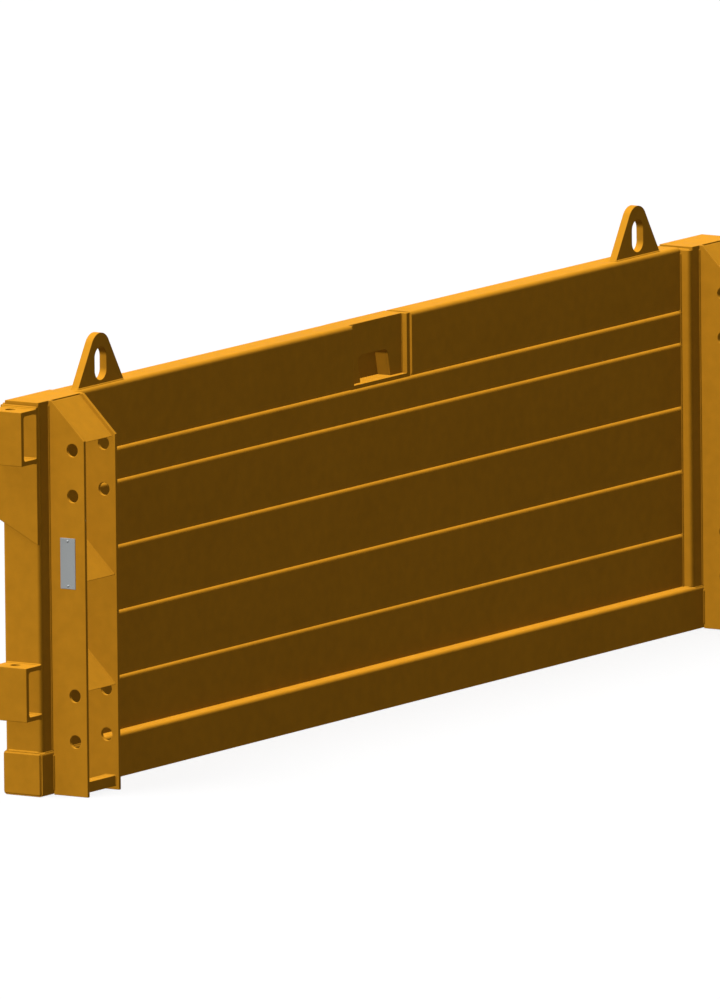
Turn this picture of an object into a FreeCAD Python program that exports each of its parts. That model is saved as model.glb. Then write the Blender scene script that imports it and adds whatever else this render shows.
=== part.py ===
import FreeCAD, Part
import math
import os
import re
import Sketcher

# Trench shoring panel: a welded steel wall of stacked hollow sections between two end posts,
# standing on a full-length bottom rail. X runs along the wall, -Y is the trench side with the
# strut brackets, Z is up. The origin is the middle of the rail's underside.

# Driving dimensions in millimetres, one spreadsheet cell each.
SIZES = {
    "panel_length": "3936",
    "rail_height": "135",
    "rail_depth": "140",
    "rail_wall": "8",
    "rail_corner": "12",
    "rail_overhang": "8",
    "end_plate_thickness": "7",
    "end_plate_inset": "6",
    "post_width": "260",
    "post_depth": "135",
    "post_wall": "8",
    "post_corner": "13",
    "post_setback": "5",
    "cap_thickness": "10",
    "cap_rise": "3",
    "cap_inner_inset": "14",
    "cap_back_inset": "14",
    "head_thickness": "12",
    "tube_depth": "100",
    "tube_wall": "6",
    "tube_corner": "12",
    "sole_tube_height": "165",
    "wide_tube_height": "200",
    "narrow_tube_height": "100",
    "top_tube_height": "200",
    "top_tube_wall": "10",
    "top_tube_corner": "15",
    "pocket_width": "300",
    "pocket_recess": "27",
    "pocket_drop": "3",
    "pocket_cheek_thickness": "16",
    "pocket_setback": "8",
    "pocket_floor_thickness": "12",
    "pocket_plate": "8",
    "niche_width": "172",
    "niche_height": "85",
    "niche_lean": "18",
    "niche_depth": "48",
    "niche_corner": "22",
    "eye_base": "252",
    "eye_apex": "208",
    "eye_crown": "53",
    "eye_thickness": "25",
    "eye_setback": "16",
    "eye_gap_left": "35",
    "eye_gap_right": "96",
    "eye_slot_width": "65",
    "eye_slot_height": "102",
    "eye_slot_floor": "14",
    "bracket_offset": "55",
    "bracket_width": "182",
    "cheek_thickness": "10",
    "cheek_depth": "126",
    "cheek_top_flat": "10",
    "shed_reach": "118",
    "shed_thickness": "8",
    "roof_drop": "1",
    "upper_shed_front": "657",
    "lower_shed_front": "322",
    "pin_hole": "40",
    "pin_reach": "84",
    "pin_pitch": "140",
    "lower_pin_height": "167",
    "upper_pin_height": "917",
    "foot_reach": "114",
    "foot_base": "11",
    "foot_height": "32",
    "foot_depth": "40",
    "lug_reach": "83",
    "lug_depth": "126",
    "lug_height": "164",
    "lug_plate": "13",
    "lug_bend": "10",
    "lug_hole": "32",
    "lug_hole_reach": "70",
    "lower_lug_base": "239",
    "upper_lug_drop": "15",
    "backing_thickness": "12",
    "backing_drop": "9",
    "backing_front_height": "420",
    "backing_back_height": "347",
    "backing_top_depth": "129",
    "backing_low_depth": "147",
    "id_plate_thickness": "2",
    "id_plate_width": "53",
    "id_plate_height": "155",
    "id_plate_base": "633",
    "id_plate_reach": "91",
}

WIDE_TUBES = 3
WALL_TOP = (
    f"(rail_height + sole_tube_height + {WIDE_TUBES} * wide_tube_height"
    " + narrow_tube_height + top_tube_height)"
)
LEFT_END = "(-panel_length / 2)"
RAIL_FRONT = "(-rail_depth / 2)"
WALL_BACK = "(rail_depth / 2)"
POST_FRONT = "(post_setback - rail_depth / 2)"
WALL_FRONT = "(rail_depth / 2 - tube_depth)"
CAP_TOP = f"({WALL_TOP} + cap_rise)"
POST_TOP = f"({CAP_TOP} - cap_thickness)"
POCKET_BASE = f"({WALL_TOP} - top_tube_height)"
POCKET_CUT = "(pocket_width / 2 + pocket_cheek_thickness)"
NEAR = 1e-3
PART_LABELS = []

doc = FreeCAD.newDocument("ShoringPanel")
sheet = doc.addObject("Spreadsheet::Sheet", "Sizes")
for row, (alias, number) in enumerate(SIZES.items(), start=1):
    sheet.set(f"A{row}", alias)
    sheet.set(f"B{row}", number)
    sheet.setAlias(f"B{row}", alias)
doc.recompute()


def cells(text):
    """The expression with each size name turned into its spreadsheet cell."""
    return re.sub(r"[a-z_]+", lambda m: f"Sizes.{m[0]}" if m[0] in SIZES else m[0], str(text))


def bind(item, prop, text):
    item.setExpression(prop, cells(text))


def place(item, spot):
    for axis, text in zip("xyz", spot):
        bind(item, f"Placement.Base.{axis}", text)


def new_body(label, spot):
    body = doc.addObject("PartDesign::Body", label)
    body.Label = label
    PART_LABELS.append(label)
    place(body, spot)
    return body


def new_sketch(body, plane):
    sketch = body.newObject("Sketcher::SketchObject", body.Name + "_sketch")
    support = next(f for f in body.Origin.OriginFeatures if f.Role == plane)
    sketch.AttachmentSupport = (support, [""])
    sketch.MapMode = "FlatFace"
    return sketch


def fix_point(sketch, curve, end, across, up):
    """Holds a point, from where it is drawn, at expressions measured from the sketch's origin."""
    drawn = sketch.getPoint(curve, end)
    for kind, axis, value, text in (("DistanceX", -2, drawn.x, across), ("DistanceY", -1, drawn.y, up)):
        if text == "0":
            sketch.addConstraint(Sketcher.Constraint("PointOnObject", curve, end, axis))
        else:
            index = sketch.addConstraint(Sketcher.Constraint(kind, -1, 1, curve, end, value))
            bind(sketch, f"Constraints[{index}]", text)


def outline(sketch, corners):
    """Closed polygon through corners given as pairs of expressions."""
    first = sketch.GeometryCount
    count = len(corners)
    turn = 2 * math.pi / count
    start = [FreeCAD.Vector(2 + math.cos(turn * i), 2 + math.sin(turn * i), 0) for i in range(count)]
    for i in range(count):
        sketch.addGeometry(Part.LineSegment(start[i], start[(i + 1) % count]))
    for i in range(count):
        following = first + (i + 1) % count
        sketch.addConstraint(Sketcher.Constraint("Coincident", first + i, 2, following, 1))
    for i, (across, up) in enumerate(corners):
        fix_point(sketch, first + i, 1, across, up)


def rectangle(sketch, left, low, right, high):
    outline(sketch, [(left, low), (right, low), (right, high), (left, high)])


def round_hole(sketch, across, up, diameter):
    centre = FreeCAD.Vector(1, 1, 0)
    curve = sketch.addGeometry(Part.Circle(centre, FreeCAD.Vector(0, 0, 1), 1))
    fix_point(sketch, curve, 3, across, up)
    index = sketch.addConstraint(Sketcher.Constraint("Diameter", curve, 2.0))
    bind(sketch, f"Constraints[{index}]", diameter)


def size(alias):
    return float(sheet.get(alias))


def eye_slot(sketch):
    """Upright slot with round ends, drawn from the start at its own size so that it solves one way."""
    normal = FreeCAD.Vector(0, 0, 1)
    radius = size("eye_slot_width") / 2
    side = FreeCAD.Vector(radius, 0, 0)
    foot = FreeCAD.Vector(size("eye_base") / 2, size("eye_slot_floor") + radius, 0)
    head = FreeCAD.Vector(foot.x, size("eye_slot_floor") + size("eye_slot_height") - radius, 0)
    low_end = Part.ArcOfCircle(Part.Circle(foot, normal, radius), math.pi, 2 * math.pi)
    high_end = Part.ArcOfCircle(Part.Circle(head, normal, radius), 0, math.pi)
    bottom = sketch.addGeometry(low_end)
    right = sketch.addGeometry(Part.LineSegment(foot + side, head + side))
    top = sketch.addGeometry(high_end)
    left = sketch.addGeometry(Part.LineSegment(head - side, foot - side))
    ring = (bottom, right, top, left)
    for curve, following in zip(ring, ring[1:] + ring[:1]):
        sketch.addConstraint(Sketcher.Constraint("Tangent", curve, 2, following, 1))
    sketch.addConstraint(Sketcher.Constraint("Equal", bottom, top))
    fix_point(sketch, bottom, 3, "eye_base / 2", "eye_slot_floor + eye_slot_width / 2")
    fix_point(sketch, top, 3, "eye_base / 2", "eye_slot_floor + eye_slot_height - eye_slot_width / 2")
    index = sketch.addConstraint(Sketcher.Constraint("Radius", bottom, radius))
    bind(sketch, f"Constraints[{index}]", "eye_slot_width / 2")


def pad(body, sketch, length, reverse=False):
    feature = body.newObject("PartDesign::Pad", sketch.Name + "_pad")
    feature.Profile = sketch
    feature.Reversed = reverse
    bind(feature, "Length", length)
    doc.recompute()
    return feature


def edges_along(feature, direction):
    """Numbered straight edges of a feature that run along a direction."""
    found = []
    for number, edge in enumerate(feature.Shape.Edges, start=1):
        run = edge.Vertexes[-1].Point - edge.Vertexes[0].Point
        if run.Length > NEAR and run.cross(direction).Length < NEAR:
            found.append((f"Edge{number}", edge.CenterOfMass))
    return found


def fillet(body, feature, names, radius):
    rounded = body.newObject("PartDesign::Fillet", feature.Name + "_fillet")
    rounded.Base = (feature, names)
    bind(rounded, "Radius", radius)
    doc.recompute()
    return rounded


def inner_corner(corner, wall):
    return f"max({corner} - {wall}; {wall} / 2)"


def hollow_section(label, plane, across, up, wall, corner, length, spot):
    """Structural hollow section with round corners, standing on its plane's origin corner."""
    body = new_body(label, spot)
    sketch = new_sketch(body, plane)
    rectangle(sketch, "0", "0", across, up)
    rectangle(sketch, wall, wall, f"{across} - {wall}", f"{up} - {wall}")
    section = pad(body, sketch, length)
    run = FreeCAD.Vector(1, 0, 0) if plane == "YZ_Plane" else FreeCAD.Vector(0, 0, 1)
    for pick, radius in ((slice(-4, None), inner_corner(corner, wall)), (slice(4), corner)):
        middle = section.Shape.BoundBox.Center
        far_first = sorted(edges_along(section, run), key=lambda e: -(e[1] - middle).Length)
        section = fillet(body, section, [name for name, at in far_first[pick]], radius)


def plate(label, sizes, spot):
    """Flat plate with square edges."""
    box = doc.addObject("Part::Box", label)
    box.Label = label
    PART_LABELS.append(label)
    for prop, text in zip(("Length", "Width", "Height"), sizes):
        bind(box, prop, text)
    place(box, spot)


def add_rail():
    hollow_section(
        "bottom_rail", "YZ_Plane", "rail_depth", "rail_height", "rail_wall", "rail_corner",
        "panel_length + 2 * rail_overhang", (f"{LEFT_END} - rail_overhang", RAIL_FRONT, "0"),
    )
    plate_size = (
        "end_plate_thickness", "rail_depth - 2 * end_plate_inset", "rail_height - 2 * end_plate_inset",
    )
    left = "-panel_length / 2 - rail_overhang - end_plate_thickness"
    right = "panel_length / 2 + rail_overhang"
    for side, start in (("left", left), ("right", right)):
        plate(f"rail_end_{side}", plate_size, (start, f"{RAIL_FRONT} + end_plate_inset", "end_plate_inset"))


def add_post(side, start):
    """Post on the rail, its top end closed by a plate, with a cap flush with its front and outer side."""
    hollow_section(
        f"post_{side}", "XY_Plane", "post_width", "post_depth", "post_wall", "post_corner",
        f"{POST_TOP} - rail_height", (start, POST_FRONT, "rail_height"),
    )
    head_spot = (f"{start} + post_wall", f"{POST_FRONT} + post_wall", f"{POST_TOP} - head_thickness")
    head = new_body(f"post_head_{side}", head_spot)
    sketch = new_sketch(head, "XY_Plane")
    rectangle(sketch, "0", "0", "post_width - 2 * post_wall", "post_depth - 2 * post_wall")
    blank = pad(head, sketch, "head_thickness")
    corners = [name for name, at in edges_along(blank, FreeCAD.Vector(0, 0, 1))]
    fillet(head, blank, corners, inner_corner("post_corner", "post_wall"))
    cap_start = start if side == "left" else f"{start} + cap_inner_inset"
    plate(
        f"post_cap_{side}", ("post_width - cap_inner_inset", "post_depth - cap_back_inset", "cap_thickness"),
        (cap_start, POST_FRONT, POST_TOP),
    )


def add_wall():
    """Stack of hollow sections from the rail up, with the pocket dividing the top one."""
    span = "(panel_length - 2 * post_width)"
    inner = f"({LEFT_END} + post_width)"
    heights = ["sole_tube_height"] + ["wide_tube_height"] * WIDE_TUBES + ["narrow_tube_height"]
    names = ["wall_tube_sole"] + [f"wall_tube_{i}" for i in range(1, WIDE_TUBES + 1)] + ["wall_tube_narrow"]
    base = "rail_height"
    for name, height in zip(names, heights):
        hollow_section(
            name, "YZ_Plane", "tube_depth", height, "tube_wall", "tube_corner",
            span, (inner, WALL_FRONT, base),
        )
        base = f"{base} + {height}"
    for side, start in (("left", inner), ("right", POCKET_CUT)):
        hollow_section(
            f"top_tube_{side}", "YZ_Plane", "tube_depth", "top_tube_height", "top_tube_wall",
            "top_tube_corner", f"{span} / 2 - {POCKET_CUT}", (start, WALL_FRONT, base),
        )


def add_pocket():
    """Recess in the middle of the top section, lined with plates, with a leaning niche at its floor."""
    left = "(-pocket_width / 2)"
    clear = "(top_tube_height - pocket_drop)"
    cheek_depth = "tube_depth - pocket_setback"
    for side, start in (("left", f"-{POCKET_CUT}"), ("right", "pocket_width / 2")):
        plate(
            f"pocket_cheek_{side}", ("pocket_cheek_thickness", cheek_depth, clear),
            (start, f"{WALL_FRONT} + pocket_setback", POCKET_BASE),
        )
    plate(
        "pocket_floor", ("pocket_width", "tube_depth - pocket_setback", "pocket_floor_thickness"),
        (left, f"{WALL_FRONT} + pocket_setback", POCKET_BASE),
    )
    floor = f"({POCKET_BASE} + pocket_floor_thickness)"
    height = f"({clear} - pocket_floor_thickness)"
    back = f"({WALL_FRONT} + pocket_recess)"
    plate(
        "pocket_top_strip",
        ("pocket_width", "tube_depth - pocket_recess - 2 * pocket_plate", "pocket_plate"),
        (left, f"{back} + pocket_plate", f"{floor} + {height} - pocket_plate"),
    )
    plate(
        "pocket_rear", ("pocket_width", "pocket_plate", height),
        (left, f"{WALL_BACK} - pocket_plate", floor),
    )
    add_pocket_back(left, back, floor, height)
    add_niche_liner(back, floor)


def add_pocket_back(left, back, floor, height):
    body = new_body("pocket_back", (left, back, floor))
    sketch = new_sketch(body, "XZ_Plane")
    near = "(pocket_width - niche_width) / 2"
    far = "(pocket_width + niche_width) / 2"
    outline(sketch, [
        ("0", "0"), (near, "0"), (f"{near} - niche_lean", "niche_height"),
        (f"{far} - niche_lean", "niche_height"), (far, "0"), ("pocket_width", "0"),
        ("pocket_width", height), ("0", height),
    ])
    sheet_metal = pad(body, sketch, "pocket_plate", reverse=True)
    round_niche_corners(body, sheet_metal)


def round_niche_corners(body, feature):
    """Rounds the two upper corners of the niche opening."""
    through = edges_along(feature, FreeCAD.Vector(0, 1, 0))
    names = [name for name, at in through if abs(at.z - size("niche_height")) < NEAR]
    fillet(body, feature, names, "niche_corner")


def add_niche_liner(back, floor):
    """Hood behind the niche opening, closed at its rear end, standing on the pocket floor."""
    slope = "(niche_lean / niche_height)"
    top = "(niche_height + pocket_plate)"
    foot = f"({slope} * {top})"
    left = f"-niche_width / 2 - pocket_plate - {foot}"
    body = new_body("niche_liner", (left, f"{back} + pocket_plate", floor))
    sketch = new_sketch(body, "XZ_Plane")
    inner = f"({foot} + pocket_plate)"
    outline(sketch, [
        (foot, "0"), (inner, "0"), (f"{inner} - niche_lean", "niche_height"),
        (f"{inner} + niche_width - niche_lean", "niche_height"), (f"{inner} + niche_width", "0"),
        (f"{inner} + niche_width + pocket_plate", "0"),
        ("niche_width + 2 * pocket_plate", top), ("0", top),
    ])
    hood = pad(body, sketch, "niche_depth - pocket_plate", reverse=True)
    round_niche_corners(body, hood)
    end_sketch = new_sketch(body, "XZ_Plane")
    bind(end_sketch, "AttachmentOffset.Base.z", "pocket_plate - niche_depth")
    outline(end_sketch, [
        (foot, "0"), (f"{inner} + niche_width + pocket_plate", "0"),
        ("niche_width + 2 * pocket_plate", top), ("0", top),
    ])
    pad(body, end_sketch, "pocket_plate", reverse=True)


def add_eye(side, start):
    """Lifting eye: a tapered plate with a round crown and an upright slot for the chain hook."""
    body = new_body(f"lifting_eye_{side}", (start, f"{WALL_FRONT} + eye_setback", WALL_TOP))
    sketch = new_sketch(body, "XZ_Plane")
    outline(sketch, [("0", "0"), ("eye_base", "0"), ("eye_base / 2", "eye_apex")])
    eye_slot(sketch)
    blank = pad(body, sketch, "eye_thickness", reverse=True)
    across = edges_along(blank, FreeCAD.Vector(0, 1, 0))
    peak = max(across, key=lambda e: e[1].z)
    fillet(body, blank, [peak[0]], "eye_crown")


def add_bracket(side, start):
    """Strut bracket: two drilled cheeks on the post with a roof, two sheds and a foot bar between them."""
    first = f"{start} + bracket_offset"
    second = f"{first} + bracket_width - cheek_thickness"
    add_bracket_cheek(f"bracket_cheek_outer_{side}", first)
    add_bracket_cheek(f"bracket_cheek_inner_{side}", second)
    within = "bracket_width - 2 * cheek_thickness"
    between = f"{first} + cheek_thickness"
    thick = "(shed_thickness * sqrt(2))"
    sheds = (
        ("bracket_roof", f"{WALL_TOP} - roof_drop - shed_reach"),
        ("bracket_shed_upper", "upper_shed_front"),
        ("bracket_shed_lower", "lower_shed_front"),
    )
    for name, front_edge in sheds:
        body = new_body(f"{name}_{side}", (between, f"{POST_FRONT} - shed_reach", front_edge))
        sketch = new_sketch(body, "YZ_Plane")
        outline(sketch, [
            ("0", "0"), (thick, "0"), ("shed_reach", f"shed_reach - {thick}"), ("shed_reach", "shed_reach"),
        ])
        pad(body, sketch, within)
    plate(
        f"bracket_foot_{side}", (within, "foot_depth", "foot_height"),
        (between, f"{POST_FRONT} - foot_reach", "foot_base"),
    )


def add_bracket_cheek(label, start):
    """Upright plate, notched over the rail, its top cut down at 45 degrees, drilled for strut pins."""
    body = new_body(label, (start, f"{POST_FRONT} - cheek_depth", "0"))
    sketch = new_sketch(body, "YZ_Plane")
    notch = "cheek_depth - post_setback"
    slope = "(cheek_depth - cheek_top_flat)"
    outline(sketch, [
        ("0", "0"), (notch, "0"), (notch, "rail_height"), ("cheek_depth", "rail_height"),
        ("cheek_depth", CAP_TOP), (slope, CAP_TOP), ("0", f"{CAP_TOP} - {slope}"),
    ])
    for base in ("lower_pin_height", "upper_pin_height"):
        for rise in ("", " + pin_pitch"):
            round_hole(sketch, "cheek_depth - pin_reach", base + rise, "pin_hole")
    pad(body, sketch, "cheek_thickness")


def add_lug(name, face, base):
    """Coupling lug: a bracket of two flanges and a web, open to front and back, bored for an upright pin."""
    body = new_body(name, (f"{face} - lug_reach", POST_FRONT, base))
    sketch = new_sketch(body, "XZ_Plane")
    top = "lug_height - lug_plate"
    outline(sketch, [
        ("0", "0"), ("lug_reach", "0"), ("lug_reach", "lug_plate"), ("lug_plate", "lug_plate"),
        ("lug_plate", top), ("lug_reach", top), ("lug_reach", "lug_height"), ("0", "lug_height"),
    ])
    blank = pad(body, sketch, "lug_depth", reverse=True)
    along = edges_along(blank, FreeCAD.Vector(0, 1, 0))
    bends = [name for name, at in along if abs(at.x - size("lug_plate")) < NEAR]
    bent = fillet(body, blank, bends, "lug_bend")
    bore_sketch = new_sketch(body, "XY_Plane")
    round_hole(bore_sketch, "(lug_reach + lug_plate) / 2", "lug_hole_reach", "lug_hole")
    bore = body.newObject("PartDesign::Pocket", name + "_bore")
    bore.Profile = bore_sketch
    bore.Type = "ThroughAll"
    bore.Reversed = True
    doc.recompute()
    if bore.Shape.Volume >= bent.Shape.Volume:
        raise RuntimeError(f"{name}: the pin bore cut nothing")


def add_backing_plate():
    """Plate on the outer face of the post that spreads the load of the upper lug."""
    base = f"{WALL_TOP} - backing_drop - backing_front_height"
    body = new_body("lug_backing_plate", (f"{LEFT_END} - backing_thickness", POST_FRONT, base))
    sketch = new_sketch(body, "YZ_Plane")
    outline(sketch, [
        ("0", "0"), ("backing_low_depth", "backing_front_height - backing_back_height"),
        ("backing_top_depth", "backing_front_height"), ("0", "backing_front_height"),
    ])
    pad(body, sketch, "backing_thickness")


add_rail()
for side, start in (("left", LEFT_END), ("right", "(panel_length / 2 - post_width)")):
    add_post(side, start)
    add_bracket(side, start)
add_wall()
add_pocket()
add_eye("left", f"{LEFT_END} + post_width + eye_gap_left")
add_eye("right", "panel_length / 2 - post_width - eye_gap_right - eye_base")
plate(
    "identification_plate", ("id_plate_thickness", "id_plate_width", "id_plate_height"),
    (f"{LEFT_END} + bracket_offset - id_plate_thickness", f"{POST_FRONT} - id_plate_reach", "id_plate_base"),
)
add_backing_plate()
add_lug("lug_upper", f"{LEFT_END} - backing_thickness", f"{WALL_TOP} - upper_lug_drop - lug_height")
add_lug("lug_lower", LEFT_END, "lower_lug_base")
doc.recompute()

for item in doc.Objects:
    if "Invalid" in item.State or "Error" in item.State:
        raise RuntimeError(f"{item.Label} did not build: {item.State}")
os.makedirs("parts", exist_ok=True)
for label in PART_LABELS:
    shape = doc.getObjectsByLabel(label)[0].Shape
    if shape.isNull() or not shape.isValid() or len(shape.Solids) != 1:
        raise RuntimeError(f"{label} is not one valid solid")
    shape.exportStep(os.path.join("parts", label + ".step"))
print(len(PART_LABELS), "parts written")
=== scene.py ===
import math
import random

import bmesh
import bpy
from mathutils import Matrix, Vector


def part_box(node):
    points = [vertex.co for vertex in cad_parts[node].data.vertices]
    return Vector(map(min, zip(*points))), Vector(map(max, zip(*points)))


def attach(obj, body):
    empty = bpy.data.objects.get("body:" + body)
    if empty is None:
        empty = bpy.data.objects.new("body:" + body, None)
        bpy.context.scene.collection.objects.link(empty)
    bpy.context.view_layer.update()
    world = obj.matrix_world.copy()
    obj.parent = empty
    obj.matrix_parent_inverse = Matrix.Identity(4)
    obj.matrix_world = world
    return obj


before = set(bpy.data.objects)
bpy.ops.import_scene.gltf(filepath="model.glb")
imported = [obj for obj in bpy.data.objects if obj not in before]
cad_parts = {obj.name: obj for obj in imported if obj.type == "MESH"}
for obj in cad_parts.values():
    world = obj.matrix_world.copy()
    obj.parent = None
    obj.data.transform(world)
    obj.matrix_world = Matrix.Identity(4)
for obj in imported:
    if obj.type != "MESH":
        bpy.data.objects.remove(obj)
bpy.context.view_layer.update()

# Looks of a welded trench shoring panel: ochre paint on rolled steel, bead welds, a bare grey plate.
# Lengths are in metres, in the panel's own frame: X along the wall, -Y the trench side, Z up.
UP = (0, 0, 1)
TO_TRENCH = (0, -1, 0)
TO_SOIL = (0, 1, 0)

# The picture is a parallel projection, so a long lens stands far off.
VIEW_AZIMUTH = math.radians(-57.0711)
VIEW_ELEVATION = math.radians(8.7701)
VIEW_ROLL = math.radians(-0.5937)
VIEW_DISTANCE = 104.71
VIEW_RIGHT = -0.05554
VIEW_UP = 0.63053
LENS_MM = 1230

# Each lamp has a name, the way that its light comes from, its strength and whether it throws a shadow.
LAMPS = (
    ("key", (-0.39, 0.22, 0.88), 0.30, True),
    ("fill", (-0.39, 0.22, 0.88), 3.55, False),
    ("front", (0.65, -0.72, 0.20), 0.32, False),
    ("bounce", (0.0, -0.10, -0.95), 0.30, False),
    ("end", (0.97, 0.25, 0.0), 0.80, False),
)
SOFTNESS = math.radians(25)
SKY_STRENGTH = 0.07
FLOOR_SIZE = 60
FLOOR_PALE = (0.86, 0.86, 0.86, 1)
FLOOR_DIM = (0.12, 0.12, 0.12, 1)
WHITE = (1, 1, 1, 1)

# Paint: its colours, the spread of its tone, and how far edge wear with a painted highlight on the
# arrises, dust, peel and gloss show.
OCHRE = (0.79, 0.335, 0.0185)
# Lighter ochre on the arrises: thinner paint, and partly a painted highlight.
OCHRE_THIN_AND_HIGHLIT = (0.92, 0.42, 0.045)
OCHRE_DUSTY = (0.75, 0.355, 0.055)
TONE_DEEP = 0.93
TONE_LIGHT = 1.06
# Share of edge wear and painted highlight that the arrises take.
PAINT_WEAR_AND_HIGHLIGHT = 0.35
PAINT_DUST = 0.04
PAINT_GLOSS = 0.012
PEEL_STRENGTH = 0.25

# Bare plate: rolled grey, darker in its brushed streaks and brighter on its edges.
PLATE_GREY = (0.60, 0.63, 0.63)
PLATE_BRIGHT = (0.80, 0.82, 0.82)
PLATE_STREAK = 0.9
PLATE_WEAR = 0.5
BRUSH_STRETCH = (1, 40, 1)
BRUSH_STRENGTH = 0.2
BRUSH_DEPTH = 0.0003

# Weld beads: legs and ripple spacing are lengths, and the rest are shares of the leg.
BEAD_LEG = 0.0034
FINE_LEG = 0.0022
SOLE_LEG = 0.006
BEAD_RIPPLE = 0.0048
BEAD_ARC = (0, 0.25, 0.5, 0.75, 1)
BEAD_BULGE = 0.6
BEAD_CREST = 1.07
BEAD_TROUGH = 0.93
BEAD_END = 0.6
BEAD_UNEVEN = 0.06
BEAD_ROOT = 0.1

# Where beads start and stop, and the slopes that they lie on.
ROUND_EDGE = 0.013
CROWN_EDGE = 0.016
CROWN_FALL = 0.1
FLARE = 0.0115
FLARE_OUT = 0.83
FLARE_ASIDE = 0.55
SHOULDER_DROP = 0.002
SHOULDER_SLOPE = (0, -0.6, -0.8)
REAR_INSET = 0.008
CAP_INSET = 0.01
CAP_GAP = 0.002
EYE_RUN = 0.518
EYE_RISE = 0.855
LUG_FLANGE = 0.013
BACKING_FALL = 0.073 / 0.147

# Dome rivets: the profile gives the reach and the rise of each ring as shares of radius and height.
RIVET_RADIUS = 0.0042
RIVET_HEIGHT = 0.0018
RIVET_INSET = 0.009
RIVET_SIDES = 20
RIVET_PROFILE = ((1.0, 0.0), (0.97, 0.25), (0.84, 0.6), (0.55, 0.88), (0.22, 0.98))


def new_group(name, inputs, outputs):
    """Empty shader node group with float, colour or vector sockets."""
    group = bpy.data.node_groups.new(name, "ShaderNodeTree")
    for label, kind, value in inputs:
        socket = group.interface.new_socket(label, in_out="INPUT", socket_type=kind)
        socket.default_value = value
    for label, kind in outputs:
        group.interface.new_socket(label, in_out="OUTPUT", socket_type=kind)
    entry = group.nodes.new("NodeGroupInput")
    leave = group.nodes.new("NodeGroupOutput")
    return group, entry.outputs, leave.inputs


def noise(tree, place, scale, detail=2.0, roughness=0.5):
    """Cloudy grain from 0 to 1."""
    texture = tree.nodes.new("ShaderNodeTexNoise")
    texture.inputs["Scale"].default_value = scale
    texture.inputs["Detail"].default_value = detail
    texture.inputs["Roughness"].default_value = roughness
    tree.links.new(place, texture.inputs["Vector"])
    return texture.outputs["Fac"]


def fit_range(tree, value, low, high, to_low, to_high):
    """Value carried from one range to another, and held at its ends."""
    node = tree.nodes.new("ShaderNodeMapRange")
    node.inputs["From Min"].default_value = low
    node.inputs["From Max"].default_value = high
    node.inputs["To Min"].default_value = to_low
    node.inputs["To Max"].default_value = to_high
    tree.links.new(value, node.inputs["Value"])
    return node.outputs["Result"]


def blend_colour(tree, amount, first, second):
    """Mixes two colours, each a socket or a plain colour, by a mask."""
    node = tree.nodes.new("ShaderNodeMix")
    node.data_type = "RGBA"
    tree.links.new(amount, node.inputs["Factor"])
    for socket, colour in ((node.inputs[6], first), (node.inputs[7], second)):
        if isinstance(colour, tuple):
            socket.default_value = (*colour, 1)
        else:
            tree.links.new(colour, socket)
    return node.outputs[2]


def calculate(tree, operation, first, second):
    """Result of a sum on two values."""
    node = tree.nodes.new("ShaderNodeMath")
    node.operation = operation
    tree.links.new(first, node.inputs[0])
    tree.links.new(second, node.inputs[1])
    return node.outputs["Value"]


def object_place(tree):
    """Place on the surface in the panel's own frame."""
    return tree.nodes.new("ShaderNodeTexCoord").outputs["Object"]


def edge_wear_and_highlight_group():
    """Mask that is bright on the arrises of a plate and dark on its faces, broken up by grain; on the
    paint it carries edge wear and a painted highlight.
    """
    group, given, result = new_group(
        "worn_edge",
        [("Width", "NodeSocketFloat", 0.003), ("Amount", "NodeSocketFloat", 0.5)],
        [("Mask", "NodeSocketFloat"), ("Normal", "NodeSocketVector")],
    )
    rounded = group.nodes.new("ShaderNodeBevel")
    rounded.samples = 6
    group.links.new(given["Width"], rounded.inputs["Radius"])
    geometry = group.nodes.new("ShaderNodeNewGeometry")
    turn = group.nodes.new("ShaderNodeVectorMath")
    turn.operation = "DOT_PRODUCT"
    group.links.new(rounded.outputs["Normal"], turn.inputs[0])
    group.links.new(geometry.outputs["Normal"], turn.inputs[1])
    arris = fit_range(group, turn.outputs["Value"], 0.995, 0.86, 0, 1)
    grain = fit_range(group, noise(group, object_place(group), 60, 3), 0.35, 0.65, 0.35, 1)
    broken = calculate(group, "MULTIPLY", arris, grain)
    group.links.new(calculate(group, "MULTIPLY", broken, given["Amount"]), result["Mask"])
    group.links.new(rounded.outputs["Normal"], result["Normal"])
    return group


def paint_film_group():
    """Sprayed paint: slow drift of tone, orange peel and a little roughness change."""
    group, given, result = new_group(
        "paint_film",
        [("Peel Size", "NodeSocketFloat", 380.0)],
        [("Tone", "NodeSocketFloat"), ("Roughness", "NodeSocketFloat"), ("Height", "NodeSocketFloat")],
    )
    place = object_place(group)
    drift = noise(group, place, 2.2, 4, 0.6)
    mottle = noise(group, place, 26, 3)
    group.links.new(calculate(group, "ADD", drift, mottle), result["Tone"])
    group.links.new(fit_range(group, mottle, 0.3, 0.7, 0.54, 0.70), result["Roughness"])
    peel = group.nodes.new("ShaderNodeTexNoise")
    peel.inputs["Detail"].default_value = 2
    group.links.new(place, peel.inputs["Vector"])
    group.links.new(given["Peel Size"], peel.inputs["Scale"])
    group.links.new(peel.outputs["Fac"], result["Height"])
    return group


def settled_dust_group():
    """Mask of fine dust on faces that look up, thicker in patches."""
    group, given, result = new_group(
        "settled_dust",
        [("Amount", "NodeSocketFloat", 0.2)],
        [("Mask", "NodeSocketFloat")],
    )
    geometry = group.nodes.new("ShaderNodeNewGeometry")
    split = group.nodes.new("ShaderNodeSeparateXYZ")
    group.links.new(geometry.outputs["Normal"], split.inputs[0])
    upward = fit_range(group, split.outputs["Z"], 0.3, 1, 0, 1)
    patches = fit_range(group, noise(group, object_place(group), 7, 5, 0.65), 0.4, 0.7, 0.15, 1)
    dust = calculate(group, "MULTIPLY", upward, patches)
    group.links.new(calculate(group, "MULTIPLY", dust, given["Amount"]), result["Mask"])
    return group


GROUPS = {
    "edge": edge_wear_and_highlight_group(),
    "film": paint_film_group(),
    "dust": settled_dust_group(),
}


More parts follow.
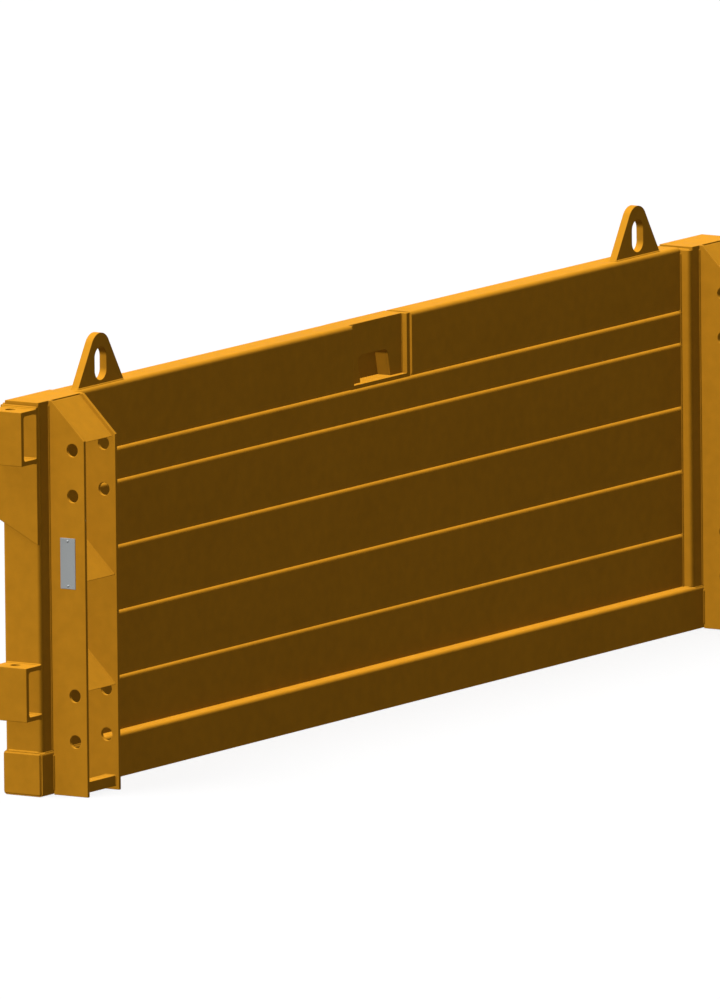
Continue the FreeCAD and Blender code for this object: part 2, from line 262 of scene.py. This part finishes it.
def place_group(tree, key, **values):
    """Puts a shared effect into a material, with that material's own values."""
    node = tree.nodes.new("ShaderNodeGroup")
    node.node_tree = GROUPS[key]
    for label, value in values.items():
        node.inputs[label.replace("_", " ")].default_value = value
    return node.outputs


def new_material(name):
    material = bpy.data.materials.new(name)
    material.use_nodes = True
    tree = material.node_tree
    return material, tree, tree.nodes["Principled BSDF"]


def raise_grain(tree, shader, height, strength, depth, normal):
    """Fine relief on a finish, over the rounded normal of its edges."""
    bump = tree.nodes.new("ShaderNodeBump")
    bump.inputs["Strength"].default_value = strength
    bump.inputs["Distance"].default_value = depth
    tree.links.new(height, bump.inputs["Height"])
    tree.links.new(normal, bump.inputs["Normal"])
    tree.links.new(bump.outputs["Normal"], shader.inputs["Normal"])


def ochre_paint(name, edge_width, peel, peel_depth):
    """Ochre paint on steel, thinner along the arrises and lighter there, the lighter ochre partly a
    painted highlight.
    """
    material, tree, shader = new_material(name)
    edge = place_group(tree, "edge", Width=edge_width, Amount=PAINT_WEAR_AND_HIGHLIGHT)
    film = place_group(tree, "film", Peel_Size=peel)
    dust = place_group(tree, "dust", Amount=PAINT_DUST)
    tone = fit_range(tree, film["Tone"], 0.7, 1.3, 0, 1)
    deep = tuple(channel * TONE_DEEP for channel in OCHRE)
    light = tuple(channel * TONE_LIGHT for channel in OCHRE)
    body = blend_colour(tree, tone, deep, light)
    # Edge wear and a painted highlight: the arrises take a lighter ochre.
    thin_and_highlit = blend_colour(tree, edge["Mask"], body, OCHRE_THIN_AND_HIGHLIT)
    colour = blend_colour(tree, dust["Mask"], thin_and_highlit, OCHRE_DUSTY)
    tree.links.new(colour, shader.inputs["Base Color"])
    tree.links.new(film["Roughness"], shader.inputs["Roughness"])
    shader.inputs["Specular IOR Level"].default_value = PAINT_GLOSS
    raise_grain(tree, shader, film["Height"], PEEL_STRENGTH, peel_depth, edge["Normal"])
    return material


def grey_plate():
    """Bare number plate: rolled grey metal with fine upright brushing."""
    material, tree, shader = new_material("bare_plate")
    stretch = tree.nodes.new("ShaderNodeMapping")
    stretch.inputs["Scale"].default_value = BRUSH_STRETCH
    tree.links.new(object_place(tree), stretch.inputs["Vector"])
    brushed = noise(tree, stretch.outputs["Vector"], 30, 4, 0.7)
    edge = place_group(tree, "edge", Width=0.0015, Amount=PLATE_WEAR)
    deep = tuple(channel * PLATE_STREAK for channel in PLATE_GREY)
    streaks = blend_colour(tree, brushed, deep, PLATE_GREY)
    colour = blend_colour(tree, edge["Mask"], streaks, PLATE_BRIGHT)
    tree.links.new(colour, shader.inputs["Base Color"])
    tree.links.new(fit_range(tree, brushed, 0.2, 0.8, 0.38, 0.55), shader.inputs["Roughness"])
    shader.inputs["Metallic"].default_value = 0.15
    raise_grain(tree, shader, brushed, BRUSH_STRENGTH, BRUSH_DEPTH, edge["Normal"])
    return material


ROLLED = ochre_paint("ochre_on_rolled_section", 0.002, 480.0, 0.0008)
CUT_PLATE = ochre_paint("ochre_on_cut_plate", 0.0025, 420.0, 0.0009)
BEAD = ochre_paint("ochre_on_weld", 0.001, 500.0, 0.002)
PLATE = grey_plate()
ROLLED_NODES = ("bottom_rail", "post_left", "post_right", "top_tube", "wall_tube")


def dress(node):
    """Gives a CAD piece its finish."""
    if node.name == "identification_plate":
        finish = PLATE
    elif node.name.startswith(ROLLED_NODES):
        finish = ROLLED
    else:
        finish = CUT_PLATE
    node.data.materials.clear()
    node.data.materials.append(finish)


def skin(mesh, rings):
    """Faces from each ring to the next, with both ends closed."""
    for before, after in zip(rings, rings[1:]):
        for this in range(len(before)):
            following = (this + 1) % len(before)
            mesh.faces.new((before[this], before[following], after[following], after[this]))
    mesh.faces.new(rings[0])
    mesh.faces.new(rings[-1])


def sweep_bead(mesh, run, chance):
    """One fillet weld with ripples, its two legs lying along the faces that it joins."""
    start, end, first, second, leg = run
    start, end = Vector(start), Vector(end)
    first, second = Vector(first).normalized(), Vector(second).normalized()
    steps = max(4, round((end - start).length / BEAD_RIPPLE * 2))
    rings = []
    for step in range(steps + 1):
        centre = start.lerp(end, step / steps)
        swell = BEAD_CREST if step % 2 else BEAD_TROUGH
        if step in (0, steps):
            swell = BEAD_END
        size = leg * (swell + chance.uniform(-BEAD_UNEVEN, BEAD_UNEVEN))
        ring = [mesh.verts.new(centre - (first + second) * leg * BEAD_ROOT)]
        for turn in BEAD_ARC:
            bulge = 1 + BEAD_BULGE * turn * (1 - turn)
            ring.append(mesh.verts.new(centre + (first * (1 - turn) + second * turn) * size * bulge))
        rings.append(ring)
    skin(mesh, rings)


def add_piece(name, mesh, finish):
    """Turns a built mesh into a piece fixed to the panel."""
    bmesh.ops.recalc_face_normals(mesh, faces=mesh.faces)
    for face in mesh.faces:
        face.smooth = True
    data = bpy.data.meshes.new(name)
    mesh.to_mesh(data)
    mesh.free()
    data.materials.append(finish)
    piece = bpy.data.objects.new(name, data)
    bpy.context.scene.collection.objects.link(piece)
    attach(piece, "root")


def weld(name, runs):
    """One piece of all the beads that hold a sub-part, uneven in the same way each time."""
    chance = random.Random(name)
    mesh = bmesh.new()
    for run in runs:
        sweep_bead(mesh, run, chance)
    add_piece(name, mesh, BEAD)


# A run is where a bead starts and ends, the ways that its two legs point, and their length.
def lengthwise(y, z, low, high, first, second, leg=BEAD_LEG):
    return (low, y, z), (high, y, z), first, second, leg


def crosswise(x, z, low, high, first, second, leg=BEAD_LEG):
    return (x, low, z), (x, high, z), first, second, leg


def upright(x, y, low, high, first, second, leg=BEAD_LEG):
    return (x, y, low), (x, y, high), first, second, leg


def weld_eyes():
    """All round the foot of each lifting eye, on the crown of the top tube."""
    for side in ("left", "right"):
        low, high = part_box(f"lifting_eye_{side}")
        runs = []
        for y, out in ((low.y, -1), (high.y, 1)):
            runs.append(lengthwise(y, low.z, low.x, high.x, (0, out, -CROWN_FALL), UP))
        for x, out in ((low.x, -1), (high.x, 1)):
            slope = (-out * EYE_RUN, 0, EYE_RISE)
            runs.append(crosswise(x, low.z, low.y, high.y, (out, 0, 0), slope))
        weld(f"weld_lifting_eye_{side}", runs)


def weld_brackets():
    """Cheeks to post and rail, sheds and foot bar between the cheeks."""
    rail_low, rail_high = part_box("bottom_rail")
    rail_foot, rail_top = rail_low.z + ROUND_EDGE, rail_high.z - ROUND_EDGE
    for side in ("left", "right"):
        post_low, post_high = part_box(f"post_{side}")
        runs = []
        for place in ("outer", "inner"):
            low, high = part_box(f"bracket_cheek_{place}_{side}")
            for x, out in ((low.x, -1), (high.x, 1)):
                outward = (out, 0, 0)
                runs.append(upright(x, post_low.y, post_low.z, post_high.z - CAP_GAP, outward, TO_TRENCH))
                runs.append(upright(x, rail_low.y, rail_foot, rail_top, outward, TO_TRENCH))
        for shed in ("upper", "lower"):
            low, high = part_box(f"bracket_shed_{shed}_{side}")
            for x, inward in ((low.x, 1), (high.x, -1)):
                runs.append(((x, high.y, high.z), (x, low.y, low.z), (0, -1, 1), (inward, 0, 0), FINE_LEG))
            runs.append(lengthwise(high.y, high.z, low.x, high.x, UP, (0, -1, -1), FINE_LEG))
        low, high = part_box(f"bracket_foot_{side}")
        for x, inward in ((low.x, 1), (high.x, -1)):
            runs.append(crosswise(x, high.z, low.y, high.y, UP, (inward, 0, 0), FINE_LEG))
            runs.append(upright(x, low.y, low.z, high.z, TO_TRENCH, (inward, 0, 0), FINE_LEG))
        weld(f"weld_bracket_{side}", runs)


def weld_posts():
    """Each post to the wall's ends, to the rail and to its cap."""
    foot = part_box("bottom_rail")[1].z
    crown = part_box("top_tube_left")[1].z - CROWN_EDGE
    wall_low, wall_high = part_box("wall_tube_1")
    for side, way in (("left", 1), ("right", -1)):
        low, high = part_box(f"post_{side}")
        cap_low, cap_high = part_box(f"post_cap_{side}")
        inner, outer = (high.x, low.x) if way == 1 else (low.x, high.x)
        cap_edge = cap_high.x if way == 1 else cap_low.x
        front, back, rear = low.y + ROUND_EDGE, high.y - ROUND_EDGE, high.y - FLARE
        inward, outward = (way, 0, 0), (-way, 0, 0)
        into_wall, into_rail = (-way * FLARE_ASIDE, FLARE_OUT, 0), (0, FLARE_OUT, -FLARE_ASIDE)
        start, end = low.x + ROUND_EDGE, high.x - ROUND_EDGE
        runs = [
            upright(inner, wall_low.y, foot, crown, TO_TRENCH, inward),
            upright(inner, wall_high.y - FLARE, foot, crown, TO_SOIL, into_wall, FLARE),
            lengthwise(low.y, foot - SHOULDER_DROP, start, end, SHOULDER_SLOPE, UP, FINE_LEG),
            crosswise(outer, foot, front, back, outward, UP, FINE_LEG),
            crosswise(inner, foot, front, wall_low.y, inward, UP, FINE_LEG),
            lengthwise(rear, foot, low.x + REAR_INSET, high.x - REAR_INSET, TO_SOIL, into_rail, FLARE),
            crosswise(cap_edge, cap_low.z, cap_low.y + CAP_INSET, cap_high.y, inward, UP),
            lengthwise(cap_high.y, cap_low.z, cap_low.x + CAP_INSET, cap_high.x, TO_SOIL, UP),
        ]
        weld(f"weld_post_{side}", runs)


def weld_sole():
    """Sole tube along the top of the rail, in the flare of the tube's round edge."""
    low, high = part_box("wall_tube_sole")
    into_tube = (0, -FLARE_OUT, FLARE_ASIDE)
    run = lengthwise(low.y + FLARE, low.z, low.x, high.x, TO_TRENCH, into_tube, SOLE_LEG)
    weld("weld_sole_tube", [run])


def weld_lugs():
    """Flanges of the coupling lugs, inside and out, and the upper lug's backing plate."""
    outward = (-1, 0, 0)
    runs = []
    for level in ("upper", "lower"):
        low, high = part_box(f"lug_{level}")
        for z, way in ((high.z, 1), (high.z - LUG_FLANGE, -1), (low.z, -1), (low.z + LUG_FLANGE, 1)):
            runs.append(crosswise(high.x, z, low.y, high.y, (0, 0, way), outward))
    low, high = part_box("lug_backing_plate")
    post_low, post_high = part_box("post_left")
    front, back = post_low.y + ROUND_EDGE, post_high.y - ROUND_EDGE
    ends = [(high.x, y, low.z + (y - low.y) * BACKING_FALL) for y in (front, back)]
    runs.append((*ends, (0, BACKING_FALL, -1), outward, BEAD_LEG))
    weld("weld_coupling_lugs", runs)


def weld_pocket():
    """Upright corners of the pocket in the top tube."""
    low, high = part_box("pocket_back")
    runs = []
    for x, way in ((low.x, 1), (high.x, -1)):
        runs.append(upright(x, low.y, low.z, high.z, TO_TRENCH, (way, 0, 0), FINE_LEG))
    weld("weld_pocket", runs)


def weld_rail_ends():
    """Closing plates round their edges on the cut ends of the rail."""
    runs = []
    for side, out in (("left", -1), ("right", 1)):
        low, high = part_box(f"rail_end_{side}")
        x = high.x if out == -1 else low.x
        for z, way in ((low.z, -1), (high.z, 1)):
            runs.append(crosswise(x, z, low.y, high.y, (0, 0, way), (out, 0, 0), FINE_LEG))
        for y, way in ((low.y, -1), (high.y, 1)):
            runs.append(upright(x, y, low.z, high.z, (0, way, 0), (out, 0, 0), FINE_LEG))
    weld("weld_rail_ends", runs)


def add_rivets():
    """Two dome rivets that hold the bare plate."""
    low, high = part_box("identification_plate")
    middle = (low.y + high.y) / 2
    mesh = bmesh.new()
    for z in (low.z + RIVET_INSET, high.z - RIVET_INSET):
        rings = []
        for reach, rise in RIVET_PROFILE:
            ring = []
            for corner in range(RIVET_SIDES):
                turn = math.tau * corner / RIVET_SIDES
                across = RIVET_RADIUS * reach * math.cos(turn)
                along = RIVET_RADIUS * reach * math.sin(turn)
                ring.append(mesh.verts.new((low.x - RIVET_HEIGHT * rise, middle + across, z + along)))
            rings.append(ring)
        skin(mesh, rings)
    add_piece("plate_rivets", mesh, PLATE)


def set_camera():
    """Long lens on the trench side, off the left end of the panel and a little above it."""
    back = Vector((
        math.sin(VIEW_AZIMUTH) * math.cos(VIEW_ELEVATION),
        -math.cos(VIEW_AZIMUTH) * math.cos(VIEW_ELEVATION),
        math.sin(VIEW_ELEVATION),
    ))
    level = Vector((math.cos(VIEW_AZIMUTH), math.sin(VIEW_AZIMUTH), 0))
    right = Matrix.Rotation(VIEW_ROLL, 3, back) @ level
    up = back.cross(right)
    data = bpy.data.cameras.new("camera")
    data.lens = LENS_MM
    data.clip_start = VIEW_DISTANCE * 0.5
    data.clip_end = VIEW_DISTANCE * 2
    camera = bpy.data.objects.new("camera", data)
    bpy.context.scene.collection.objects.link(camera)
    camera.matrix_world = Matrix((right, up, back)).transposed().to_4x4()
    camera.location = back * VIEW_DISTANCE + right * VIEW_RIGHT + up * VIEW_UP
    bpy.context.scene.camera = camera


def show_by_ray(tree, scattered, seen, output):
    """One shader for rays from the camera, a mirror or glass, and another for scattered light."""
    path = tree.nodes.new("ShaderNodeLightPath").outputs
    mirrored = calculate(tree, "MAXIMUM", path["Is Glossy Ray"], path["Is Transmission Ray"])
    direct = calculate(tree, "MAXIMUM", path["Is Camera Ray"], mirrored)
    mix = tree.nodes.new("ShaderNodeMixShader")
    tree.links.new(direct, mix.inputs["Fac"])
    tree.links.new(scattered, mix.inputs[1])
    tree.links.new(seen, mix.inputs[2])
    tree.links.new(mix.outputs["Shader"], output.inputs["Surface"])


def set_lamps():
    """Wide soft lamps from above, the front, the floor and the right end."""
    for name, direction, strength, shades in LAMPS:
        lamp = bpy.data.lights.new(name, "SUN")
        lamp.energy = strength
        lamp.angle = SOFTNESS
        lamp.use_shadow = shades
        lamp.cycles.max_bounces = 0
        lamp_object = bpy.data.objects.new(name, lamp)
        lamp_object.rotation_euler = Vector(direction).to_track_quat("Z", "Y").to_euler()
        bpy.context.scene.collection.objects.link(lamp_object)


def set_sky():
    """Faint even sky that shows white."""
    world = bpy.data.worlds.new("studio")
    world.use_nodes = True
    bpy.context.scene.world = world
    tree = world.node_tree
    faint = tree.nodes["Background"]
    faint.inputs["Color"].default_value = WHITE
    faint.inputs["Strength"].default_value = SKY_STRENGTH
    white = tree.nodes.new("ShaderNodeBackground")
    white.inputs["Color"].default_value = WHITE
    show_by_ray(tree, faint.outputs["Background"], white.outputs["Background"], tree.nodes["World Output"])


def set_floor():
    """Pale floor that shows white with the panel's shadow, and throws little light back up."""
    bpy.ops.mesh.primitive_plane_add(size=FLOOR_SIZE)
    floor = bpy.context.object
    floor.name = "floor"
    material, tree, shader = new_material("pale_floor")
    tree.nodes.remove(shader)
    pale = tree.nodes.new("ShaderNodeBsdfDiffuse")
    pale.inputs["Color"].default_value = FLOOR_PALE
    dim = tree.nodes.new("ShaderNodeBsdfDiffuse")
    dim.inputs["Color"].default_value = FLOOR_DIM
    show_by_ray(tree, dim.outputs["BSDF"], pale.outputs["BSDF"], tree.nodes["Material Output"])
    floor.data.materials.append(material)


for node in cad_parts.values():
    dress(node)
weld_eyes()
weld_brackets()
weld_posts()
weld_sole()
weld_lugs()
weld_pocket()
weld_rail_ends()
add_rivets()
set_camera()
set_lamps()
set_sky()
set_floor()
bpy.context.scene.view_settings.view_transform = "Standard"
